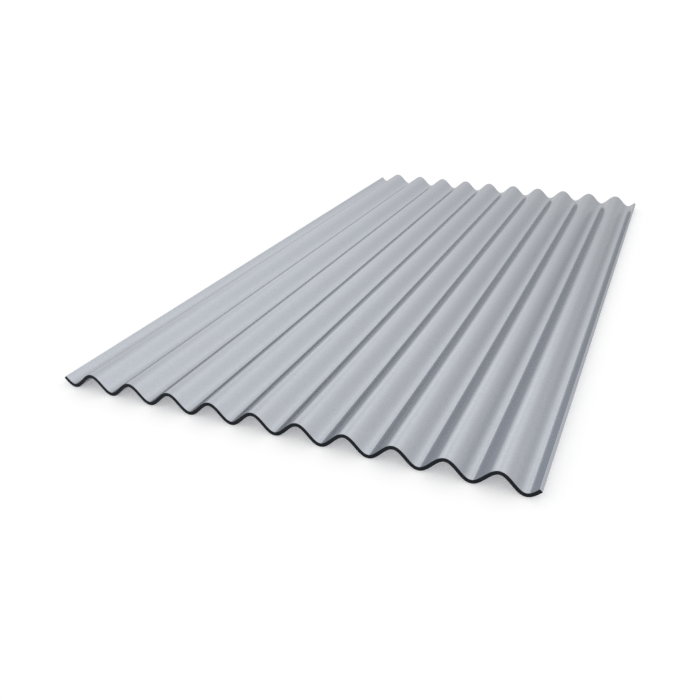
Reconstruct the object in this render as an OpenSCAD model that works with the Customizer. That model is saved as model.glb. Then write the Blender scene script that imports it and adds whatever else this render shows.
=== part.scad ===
// Corrugated steel sheet, roll-formed from one flat sheet, lying on its valleys.
// X runs across the waves, Y along them and Z up. The origin is on the floor,
// under the middle valley, half way along the sheet.

/* [Sheet] */
// Length along the waves
sheet_length = 1500; // [600:10:3600]
// Thickness of the steel
thickness = 6; // [0.5:0.1:8]
// Number of crests across the sheet
crest_count = 10; // [2:1:14]
// How far the steel runs on past the middle of the last valley, at each side
side_lip = 19; // [6:0.5:34]

/* [Wave] */
// Distance from crest to crest
pitch = 76.2; // [68:0.1:110]
// Height from valley to crest, measured on one face
depth = 25; // [14:0.5:30]

/* [Hidden] */

// Short straight steps that make up each whole wave, and each lip
wave_steps = 36;
lip_steps = 8;
// A valley is outermost at each side, and the lips run on from it
last_valley_x = crest_count * pitch / 2;
half_width = last_valley_x + side_lip;

// Places across the sheet at which the section has a point, from left to right
places = [
    for (step = [0 : lip_steps - 1]) step * side_lip / lip_steps - half_width,
    for (step = [0 : crest_count * wave_steps]) step * pitch / wave_steps - last_valley_x,
    for (step = [1 : lip_steps]) step * side_lip / lip_steps + last_valley_x
];

// The middle of the steel is a sine wave: its phase, height and slope at a place
function phase(x) = 360 * (x + last_valley_x) / pitch;
function middle_z(x) = thickness / 2 + depth / 2 * (1 - cos(phase(x)));
function slope(x) = atan(PI * depth / pitch * sin(phase(x)));

// A point on one face: offset is the distance from the middle of the steel to that face,
// square to the steel and with up positive, so that the steel is equally thick everywhere
function face_point(x, offset) = [x - offset * sin(slope(x)), middle_z(x) + offset * cos(slope(x))];

// One whole face of the steel, from the left lip to the right lip
function face_line(offset) = [for (x = places) face_point(x, offset)];

function reversed(points) = [for (i = [len(points) - 1 : -1 : 0]) points[i]];

module wave_section() {
    polygon(concat(face_line(thickness / 2), reversed(face_line(-thickness / 2))));
}

module corrugated_sheet() {
    color("silver")
        rotate([90, 0, 0])
            linear_extrude(sheet_length, center = true)
                wave_section();
}

corrugated_sheet();
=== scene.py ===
# %% [markdown]
# # A corrugated steel sheet
# The object is one sheet of galvanised steel that rollers have pressed into ten round waves. It has no
# other pieces, so everything that the eye gets from it comes from three things: the even curve of the
# waves, the cut edges, and the way a dull zinc coat mirrors the room.
#
# The sheet's solid is loaded first. It is the fixed frame: it says where the sheet lies and how big it is,
# and nothing made here may reach outside it.

# %% Load the sheet's solid and measure it
import math

import bmesh
import bpy
from mathutils import Matrix, Vector, noise


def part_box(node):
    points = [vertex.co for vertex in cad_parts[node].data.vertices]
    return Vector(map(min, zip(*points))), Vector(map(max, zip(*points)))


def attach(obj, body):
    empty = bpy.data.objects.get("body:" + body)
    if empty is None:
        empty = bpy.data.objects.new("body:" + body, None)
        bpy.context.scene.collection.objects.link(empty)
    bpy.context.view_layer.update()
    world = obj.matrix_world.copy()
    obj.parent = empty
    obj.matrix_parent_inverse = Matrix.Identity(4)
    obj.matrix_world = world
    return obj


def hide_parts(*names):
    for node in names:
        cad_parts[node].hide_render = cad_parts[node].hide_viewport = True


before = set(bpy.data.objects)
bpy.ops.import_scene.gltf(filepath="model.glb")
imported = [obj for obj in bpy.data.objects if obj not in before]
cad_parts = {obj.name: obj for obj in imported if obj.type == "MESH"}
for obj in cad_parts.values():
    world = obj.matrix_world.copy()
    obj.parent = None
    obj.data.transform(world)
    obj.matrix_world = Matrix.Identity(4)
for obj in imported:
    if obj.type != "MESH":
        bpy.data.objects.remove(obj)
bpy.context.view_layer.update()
low_corner, high_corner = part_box("corrugated_sheet")
sheet_length = high_corner.y - low_corner.y
sheet_height = high_corner.z - low_corner.z
print("the sheet lies between", tuple(low_corner), "and", tuple(high_corner))

# %% [markdown]
# ## The wave
# Across the sheet the middle of the steel follows a sine wave, and the two faces lie half a thickness to
# either side of it, measured square to the steel. Arcs joined by straight flanks would come close, but a
# straight flank mirrors one even tone, and on this sheet the tone changes all the way down a slope. The
# sizes are those of the rolled profile, and the depth of the wave follows from the height of the solid.

# %% Sizes of the rolled profile, in metres
pitch = 0.0762
thickness = 0.006
side_lip = 0.019
crest_count = 10

depth = sheet_height - thickness
half_depth = depth / 2
half_thickness = thickness / 2
last_valley_x = crest_count * pitch / 2
half_width = last_valley_x + side_lip
wave_number = 2 * math.pi / pitch
steepest_slope = math.atan(wave_number * half_depth)
print(f"the waves are {depth * 1000:.1f} mm deep, at {math.degrees(steepest_slope):.1f} degrees at most")

# %% [markdown]
# ## A flat sheet
# The mill starts from a flat sheet, and so does this mesh: it is a grid, as long as the finished sheet and
# as wide. Its columns are narrow enough to follow the curve of a wave. It is also cut into rows, although
# the waves are straight, because real steel comes out of the rollers a little uneven, and rows let a later
# step show that.

# %% Lay out a flat sheet
columns_per_wave = 40
column_count = round(columns_per_wave * 2 * half_width / pitch)
row_count = 60

sheet_mesh = bmesh.new()
bmesh.ops.create_grid(sheet_mesh, x_segments=column_count, y_segments=row_count, size=1,
                      matrix=Matrix.Diagonal((half_width, sheet_length / 2, 1, 1)))
print("the flat sheet has", len(sheet_mesh.faces), "faces")

# %% [markdown]
# ## Rolling the waves
# The rollers press the flat sheet into waves. Here each point of the grid goes to its place on the wave.
# The grid is to be the lower face of the steel, so a point also moves half a thickness away from the middle
# of the steel, square to the slope there. Moving the points keeps the even grid that the operator made.

# %% Press the sheet into waves


def press(flat_x):
    """Return where a point of the lower face lies, across the sheet and up, once it is rolled."""
    phase = wave_number * (flat_x + last_valley_x)
    middle_z = half_thickness + half_depth * (1 - math.cos(phase))
    slope = math.atan(wave_number * half_depth * math.sin(phase))
    return flat_x + half_thickness * math.sin(slope), middle_z - half_thickness * math.cos(slope)


for vertex in sheet_mesh.verts:
    vertex.co.x, vertex.co.z = press(vertex.co.x)
print("the lips end", tuple(round(1000 * side, 2) for side in press(half_width)), "mm across and up")

# %% [markdown]
# ## A little unevenness
# On a real sheet the waves are a tenth of a millimetre or so shallower in one place than in another, and
# the long reflections waver with it. Noise that is far longer along the waves than across them makes them
# shallower here and there. It is squared so that it only ever takes depth away, which keeps the sheet
# inside its solid, and it fades out at the two ends, which the shear leaves true.

# %% Make the waves a little shallower here and there
uneven_depth = 0.0003
uneven_along = 0.34
uneven_across = 0.11
end_fade_power = 8
most_taken = 0

for vertex in sheet_mesh.verts:
    spot = Vector((vertex.co.x / uneven_across, vertex.co.y / uneven_along, 0))
    fade = 1 - abs(2 * vertex.co.y / sheet_length) ** end_fade_power
    taken = uneven_depth * fade * noise.noise(spot) ** 2
    vertex.co.z += taken * (half_depth - vertex.co.z) / half_depth
    most_taken = max(most_taken, taken)
print(f"crests drop and valleys rise by at most {most_taken * 1000:.2f} mm")

# %% [markdown]
# ## Thickness and edges
# So far the sheet has no thickness. Solidify gives it the thickness of the steel, upwards, at right angles
# to the face everywhere, as on the real sheet, where the steel is as thick on the slopes as on the crests.
# Then the sharp rims are bevelled: a shear rolls the upper edge over and a deburring wheel takes off the
# lower one, and these narrow rounds are what catches the light along a cut.

# %% Give the sheet its thickness
# Solidify sets flat facets this far apart, which puts the points of a crest one thickness apart
column_turn = pitch / columns_per_wave * wave_number ** 2 * half_depth
facet_thickness = thickness * math.cos(column_turn / 2)

# Solidify builds up behind a face, so the lower face has to look down
lower_faces = sheet_mesh.faces[:]
lower_face = max(lower_faces, key=lambda face: abs(face.normal.z))
if lower_face.normal.z > 0:
    bmesh.ops.reverse_faces(sheet_mesh, faces=lower_faces)
bmesh.ops.solidify(sheet_mesh, geom=lower_faces, thickness=facet_thickness)
bmesh.ops.recalc_face_normals(sheet_mesh, faces=sheet_mesh.faces[:])
heights = [vertex.co.z for vertex in sheet_mesh.verts]
print(f"the steel lies between {min(heights) * 1000:.3f} and {max(heights) * 1000:.3f} mm")

# %% Round the rims
rim_round = 0.0004
rim_segments = 2
rim_angle = math.radians(60)

rims = [edge for edge in sheet_mesh.edges if edge.calc_face_angle() > rim_angle]
bmesh.ops.bevel(sheet_mesh, geom=rims, offset=rim_round, offset_type="OFFSET", affect="EDGES",
                segments=rim_segments, profile=0.5, material=-1)
# The shear cuts the two ends true, so no point leans out past them
for vertex in sheet_mesh.verts:
    vertex.co.y = min(max(vertex.co.y, low_corner.y), high_corner.y)
print("rounded", len(rims), "rim edges; the sheet has", len(sheet_mesh.faces), "faces")

# %% [markdown]
# ## Two finishes on one piece
# The zinc covers both faces and the long edges. The two cut ends are bare steel, sheared after the sheet
# was coated. Their near-black colour is painted shade: bare steel is lighter, and the dark stands in for
# the shade that the ends show. They could be a separate strip of mesh, but on the real sheet they are only
# the end of the same steel, so the faces that look along the sheet get the second finish.

# %% Make the sheet's object
ZINC, CUT_END = 0, 1
end_facing = 0.3
crease_angle = math.radians(12)

for face in sheet_mesh.faces:
    face.smooth = True
    face.material_index = CUT_END if abs(face.normal.y) > end_facing else ZINC
for edge in sheet_mesh.edges:
    edge.smooth = edge.calc_face_angle() < crease_angle
cut_faces = [face for face in sheet_mesh.faces if face.material_index == CUT_END]
print(len(cut_faces), "faces are cut ends")

sheet_data = bpy.data.meshes.new("rolled_sheet")
sheet_mesh.to_mesh(sheet_data)
sheet_mesh.free()
rolled_sheet = bpy.data.objects.new("rolled_sheet", sheet_data)
bpy.context.scene.collection.objects.link(rolled_sheet)
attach(rolled_sheet, "root")
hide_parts("corrugated_sheet")

# %% [markdown]
# ## Writing a finish as arithmetic
# A finish is a tree of nodes. Wiring dozens of Math nodes by hand hides what they work out, so a small
# class stands for one output of a node, and Python's own operators add the Math nodes: `0.4 - 0.1 * shine`
# is two of them. Every other node comes from one method, which sets the node up first and then fills its
# sockets.

# %% A value in a node tree
class Value:
    """One output of a node. Arithmetic on values adds Math nodes to their tree."""

    def __init__(self, tree, socket=None):
        self.tree = tree
        self.socket = socket

    def add(self, kind, settings=(), sockets=(), output=0):
        """Add a node, set it up, fill its sockets with numbers or values, and return one output."""
        node = self.tree.nodes.new(kind)
        for name, setting in dict(settings).items():
            setattr(node, name, setting)
        for name, filling in dict(sockets).items():
            if isinstance(filling, Value):
                self.tree.links.new(filling.socket, node.inputs[name])
            else:
                node.inputs[name].default_value = filling
        return Value(self.tree, node.outputs[output] if len(node.outputs) else None)

    def math(self, operation, first, second=0.0):
        return self.add("ShaderNodeMath", {"operation": operation}, {0: first, 1: second})

    def __add__(self, other):
        return self.math("ADD", self, other)

    def __radd__(self, other):
        return self.math("ADD", other, self)

    def __sub__(self, other):
        return self.math("SUBTRACT", self, other)

    def __rsub__(self, other):
        return self.math("SUBTRACT", other, self)

    def __mul__(self, other):
        return self.math("MULTIPLY", self, other)

    def __rmul__(self, other):
        return self.math("MULTIPLY", other, self)

    def blend(self, first, second):
        """Mix two colours by this value."""
        return self.add("ShaderNodeMix", {"data_type": "RGBA"}, {0: self, 6: first, 7: second}, output=2)


print("a value can be added, subtracted, multiplied and blended")

# %% Helpers for the finishes and the light
noise_detail = 2.0


def new_finish(name):
    """Return an empty material and a value to start its tree from."""
    material = bpy.data.materials.new(name)
    material.use_nodes = True
    material.node_tree.nodes.clear()
    return material, Value(material.node_tree)


def noise_over(place, size):
    """Noise from 0 to 1 whose lumps have the given sizes along X, Y and Z, in metres."""
    scale = tuple(1 / length for length in size)
    mapped = place.add("ShaderNodeMapping", {"vector_type": "POINT"}, {"Vector": place, "Scale": scale})
    return place.add("ShaderNodeTexNoise", {"noise_dimensions": "3D"},
                     {"Vector": mapped, "Scale": 1.0, "Detail": noise_detail}, output="Fac")


def slide(value, low, high, at_low=0.0, at_high=1.0, interpolation="LINEAR"):
    """Slide from one level to another while the value goes from low to high."""
    return value.add("ShaderNodeMapRange", {"interpolation_type": interpolation},
                     {"Value": value, "From Min": low, "From Max": high,
                      "To Min": at_low, "To Max": at_high})


print("noise and slides are ready")

# %% [markdown]
# ## Galvanised zinc
# Hot zinc freezes on the steel as crystals a few millimetres across, the spangle, each a shade lighter or
# darker than the next. On this sheet it is fine and faint. The coat is dull, so it mirrors only light and
# shade. Rolling leaves thin streaks along the waves and rubs the outside of each bend a little smoother.
# All of that is colour and roughness that vary slightly over a metal, with a very small bump for the grain.

# %% Shades of the zinc, and sizes of its pattern in metres
zinc_light = (0.548, 0.578, 0.634, 1)
zinc_dark = (0.500, 0.527, 0.576, 1)
zinc_warm = (0.528, 0.549, 0.580, 1)
zinc_grazing = (0.68, 0.68, 0.68, 1)
spangle_size = 0.0045
streak_size = (0.0016, 0.5, 0.0016)
cloud_size = (0.09, 0.22, 0.09)
grain_size = (0.0012, 0.0012, 0.0012)
print(f"a crystal of the spangle is about {spangle_size * 1000} mm across")

# %% How strongly each pattern shows in the zinc
spangle_shade = 0.45
streak_shade = 0.35
cloud_shade = 0.20
cloud_warmth = 0.6
zinc_roughness = 0.22
spangle_roughness = 0.04
streak_roughness = 0.04
rubbed_polish = 0.03
rub_starts = 0.40 * sheet_height
rub_full = 0.50 * sheet_height
grain_relief = 0.7
spangle_relief = 0.3
relief_strength = 0.05
relief_depth = 0.0003
print(f"bends are rubbed from {rub_starts * 1000:.1f} mm above and below the middle of the sheet's height")

# %% The zinc finish


def galvanised_zinc():
    material, start = new_finish("galvanised_zinc")
    place = start.add("ShaderNodeTexCoord", output="Object")
    crystal = start.add("ShaderNodeTexVoronoi", {"feature": "F1"},
                        {"Vector": place, "Scale": 1 / spangle_size}, output="Color")
    spangle = start.add("ShaderNodeSeparateColor", {}, {"Color": crystal}, output="Red")
    streaks = noise_over(place, streak_size)
    clouds = noise_over(place, cloud_size)
    grain = noise_over(place, grain_size)
    height = start.add("ShaderNodeSeparateXYZ", {}, {"Vector": place}, output="Z")
    from_middle = start.math("ABSOLUTE", height - sheet_height / 2)
    rubbed = slide(from_middle, rub_starts, rub_full, interpolation="SMOOTHSTEP")

    shade = spangle_shade * spangle + streak_shade * streaks + cloud_shade * clouds
    grey = shade.blend(zinc_light, zinc_dark)
    colour = (cloud_warmth * clouds).blend(grey, zinc_warm)
    pattern_roughness = spangle_roughness * spangle + streak_roughness * streaks
    roughness = zinc_roughness + pattern_roughness - rubbed_polish * rubbed
    relief = grain_relief * grain + spangle_relief * spangle
    bump = start.add("ShaderNodeBump", {},
                     {"Height": relief, "Strength": relief_strength, "Distance": relief_depth})
    zinc = start.add("ShaderNodeBsdfPrincipled", {},
                     {"Base Color": colour, "Roughness": roughness, "Metallic": 1.0,
                      "Specular Tint": zinc_grazing, "Normal": bump})
    start.add("ShaderNodeOutputMaterial", {}, {"Surface": zinc})
    return material


sheet_data.materials.append(galvanised_zinc())
print("zinc finish made")

# %% [markdown]
# ## Sheared ends
# A shear tears through the steel: the cut face is rough and scored by fine lines that run through
# the thickness. Its near-black colour is painted shade, darker than bare steel is. A plain black would do
# from afar. Up close the lines and the uneven gloss show that it is metal.

# %% The cut-end finish
# The two colours below are painted shade: near-blacks for the cut ends, darker than bare steel is
cut_end_shade_light = (0.030, 0.034, 0.040, 1)
cut_end_shade_dark = (0.010, 0.012, 0.015, 1)
score_size = (0.0006, 0.02, 0.006)
patch_size = (0.02, 0.02, 0.02)
score_shade = 0.7
patch_shade = 0.3
cut_roughness = 0.42
patch_roughness = 0.25
score_strength = 0.35
score_depth = 0.0003


# This finish paints the cut ends with shade, a near-black that stands in for the dark they show
def cut_end_painted_shade():
    material, start = new_finish("cut_end_painted_shade")
    place = start.add("ShaderNodeTexCoord", output="Object")
    scores = noise_over(place, score_size)
    patches = noise_over(place, patch_size)
    colour = (score_shade * scores + patch_shade * patches).blend(cut_end_shade_dark, cut_end_shade_light)
    roughness = cut_roughness + patch_roughness * patches
    bump = start.add("ShaderNodeBump", {},
                     {"Height": scores, "Strength": score_strength, "Distance": score_depth})
    steel = start.add("ShaderNodeBsdfPrincipled", {},
                      {"Base Color": colour, "Roughness": roughness, "Metallic": 1.0, "Normal": bump})
    start.add("ShaderNodeOutputMaterial", {}, {"Surface": steel})
    return material


sheet_data.materials.append(cut_end_painted_shade())
print("the sheet wears", [material.name for material in sheet_data.materials])

# %% [markdown]
# ## The floor
# The sheet lies on a plain white floor. To read as pure white behind grey metal without flooding the metal
# with light, the floor adds a little glow of its own, but only to rays from the camera, or to rays that
# have been mirrored or have passed through glass. Its shadows stay, because the rest of it is plain matt
# white.

# %% Lay the floor
floor_reach = 60.0
floor_drop = 0.0001
floor_white = (0.92, 0.92, 0.92, 1)
floor_glow = 0.23

floor_mesh = bmesh.new()
bmesh.ops.create_grid(floor_mesh, x_segments=1, y_segments=1, size=floor_reach,
                      matrix=Matrix.Translation((0, 0, low_corner.z - floor_drop)))
floor_data = bpy.data.meshes.new("floor")
floor_mesh.to_mesh(floor_data)
floor_mesh.free()
floor = bpy.data.objects.new("floor", floor_data)
bpy.context.scene.collection.objects.link(floor)


def white_floor():
    material, start = new_finish("white_floor")
    camera_ray = start.add("ShaderNodeLightPath", output="Is Camera Ray")
    glossy_ray = start.add("ShaderNodeLightPath", output="Is Glossy Ray")
    through_ray = start.add("ShaderNodeLightPath", output="Is Transmission Ray")
    seen = start.math("MINIMUM", camera_ray + glossy_ray + through_ray, 1.0)
    matt = start.add("ShaderNodeBsdfDiffuse", {}, {"Color": floor_white})
    glow = start.add("ShaderNodeEmission", {}, {"Strength": floor_glow * seen})
    both = start.add("ShaderNodeAddShader", {}, {0: matt, 1: glow})
    start.add("ShaderNodeOutputMaterial", {}, {"Surface": both})
    return material


floor_data.materials.append(white_floor())
print("floor laid at", low_corner.z - floor_drop)

# %% [markdown]
# ## The light
# Dull metal shows the room more than its own colour. The room here is a light tent: white cloth all round,
# brightest a third of the way up, darker overhead and darker near the floor. The tent leans, so that its
# bright band hangs lower on the left. A lamp behind the cloth, at the back, leaves a soft patch, and this
# patch draws the narrow bright line along each crest. Slopes that face away mirror only the next wave and
# stay dark. Cloth and lamps could be modelled, but a sky worked out from the direction alone gives the same
# light with nothing to place. At its foot the cloth is as white as the floor, so that no line shows where
# the two meet.

# %% Sizes of the tent and levels of its light, where 1 is white
cloth_white = (1, 1, 1, 1)
floor_level_light = 0.76
brightest_light = 1.10
overhead_light = 0.62
brightest_at = math.sin(math.radians(30))
tent_lean = math.radians(22)
tent_axis = (-math.sin(tent_lean), 0, math.cos(tent_lean))
straight_up = (0, 0, 1)
foot_light = 1
foot_height = math.sin(math.radians(7))
lamp_light = 0.16
lamp_direction = Vector((-0.37, 0.86, 0.35)).normalized()
lamp_spread = math.radians(15)
print("the tent gives", floor_level_light, "near the floor and", overhead_light, "overhead")

# %% Light the room


def along(direction, axis):
    """How far a direction points along an axis, from -1 to 1."""
    return direction.add("ShaderNodeVectorMath", {"operation": "DOT_PRODUCT"}, {0: direction, 1: axis},
                         output="Value")


def light_tent():
    world = bpy.data.worlds.new("light_tent")
    world.use_nodes = True
    world.node_tree.nodes.clear()
    start = Value(world.node_tree)
    direction = start.add("ShaderNodeTexCoord", output="Generated")
    upward = along(direction, tent_axis)
    rise = slide(upward, 0, brightest_at, floor_level_light, brightest_light)
    fall = slide(upward, brightest_at, 1, 0, brightest_light - overhead_light)
    foot = slide(along(direction, straight_up), 0, foot_height, foot_light, overhead_light)
    lamp = slide(along(direction, lamp_direction), math.cos(lamp_spread), 1, 0, lamp_light, "SMOOTHSTEP")
    strength = start.math("MAXIMUM", rise - fall, foot) + lamp
    light = start.add("ShaderNodeBackground", {}, {"Color": cloth_white, "Strength": strength})
    start.add("ShaderNodeOutputWorld", {}, {"Surface": light})
    return world


bpy.context.scene.world = light_tent()
bpy.context.scene.view_settings.view_transform = "Standard"
print("the world is", bpy.context.scene.world.name)

# %% [markdown]
# ## The camera
# The camera stands at the right of the near end, 0.63 m up, and looks down along the waves and to the left.
# Its place, turn and lens were found from the sheet itself: the crest lines and the two cut ends fix them,
# because the sheet's sizes are known.

# %% Place the camera
camera_place = (0.4847, -1.5927, 0.6302)
camera_turn = math.radians(23.13)
camera_down = math.radians(26.67)
camera_lens = 38.82
sensor_width = 36.0

camera_data = bpy.data.cameras.new("camera")
camera_data.sensor_fit = "HORIZONTAL"
camera_data.sensor_width = sensor_width
camera_data.lens = camera_lens
camera = bpy.data.objects.new("camera", camera_data)
camera.location = camera_place
camera.rotation_euler = (math.pi / 2 - camera_down, 0, camera_turn)
bpy.context.scene.collection.objects.link(camera)
bpy.context.scene.camera = camera
print("camera at", camera_place)
